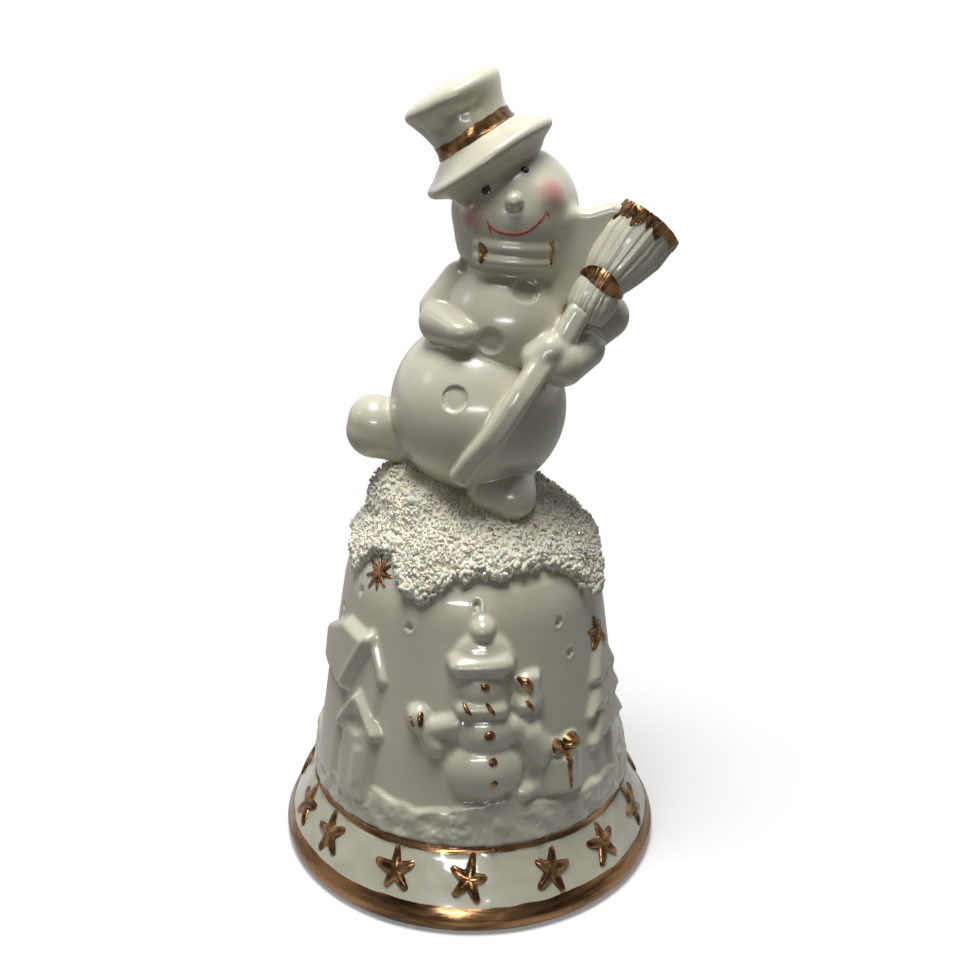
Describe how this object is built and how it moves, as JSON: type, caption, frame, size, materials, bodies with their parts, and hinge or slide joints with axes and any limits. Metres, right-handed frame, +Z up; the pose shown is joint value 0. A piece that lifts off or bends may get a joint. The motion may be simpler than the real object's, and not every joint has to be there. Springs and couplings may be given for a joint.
{
  "type": "porcelain bell",
  "caption": "White glazed porcelain hand bell with a snowman in a top hat holding a broom as its handle, raised winter scenes, gold lustre stars and rim, and a hanging clapper.",
  "frame": {"origin": "middle of the rim's foot, on the surface that the bell stands on", "axes": "+Z up along the bell's axis; the snowman faces -Y; +X is to the right of someone looking at its face"},
  "size_m": [0.0762, 0.0762, 0.1523],
  "materials": {
    "glazed_porcelain": "gloss",
    "relief_porcelain": "satin",
    "gold_lustre": "satin",
    "snow_grit": "matte",
    "wire": "satin",
    "clapper_porcelain": "gloss"
  },
  "bodies": {
    "bell": {"bell_shell": "glazed_porcelain", "belly": "glazed_porcelain", "broom_bristles": "glazed_porcelain", "broom_handle": "glazed_porcelain", "broom_tie": "gold_lustre", "broom_tip_gilding": "gold_lustre", "broom_web": "glazed_porcelain", "chest": "glazed_porcelain", "dome_stars": "gold_lustre", "fir_tree": "relief_porcelain", "fir_tree_back_left": "relief_porcelain", "fir_tree_back_right": "relief_porcelain", "gift_box": "relief_porcelain", "gift_ribbon": "gold_lustre", "hat_band": "gold_lustre", "hat_brim": "glazed_porcelain", "hat_crown": "glazed_porcelain", "head": "glazed_porcelain", "house_front": "relief_porcelain", "left_arm": "glazed_porcelain", "left_boot": "glazed_porcelain", "left_mitten": "glazed_porcelain", "lip_gilding": "gold_lustre", "nose": "glazed_porcelain", "porch": "relief_porcelain", "right_arm": "glazed_porcelain", "right_boot": "glazed_porcelain", "right_mitten": "glazed_porcelain", "scarf": "glazed_porcelain", "scarf_trim": "gold_lustre", "skirt_stars": "gold_lustre", "small_arms": "relief_porcelain", "small_broom": "relief_porcelain", "small_hat": "relief_porcelain", "small_snowman": "relief_porcelain", "small_trim": "gold_lustre", "snow_bank": "relief_porcelain", "snow_cap": "snow_grit", "starburst": "gold_lustre", "waist_gilding": "gold_lustre"},
    "hanger": {"split_pin": "wire"},
    "clapper": {"clapper_wire": "wire", "clapper_ball": "clapper_porcelain", "clapper_stop": "wire"}
  },
  "joints": [
    {"name": "pin_turn", "type": "hinge", "parent": "bell", "child": "hanger", "pos_m": [0, 0, 0.0755], "axis": [0, 0, 1], "continuous": true},
    {"name": "clapper_swing", "type": "hinge", "parent": "hanger", "child": "clapper", "pos_m": [0, 0, 0.0691], "axis": [1, 0, 0], "range_deg": [-23.5, 23.5]}
  ]
}
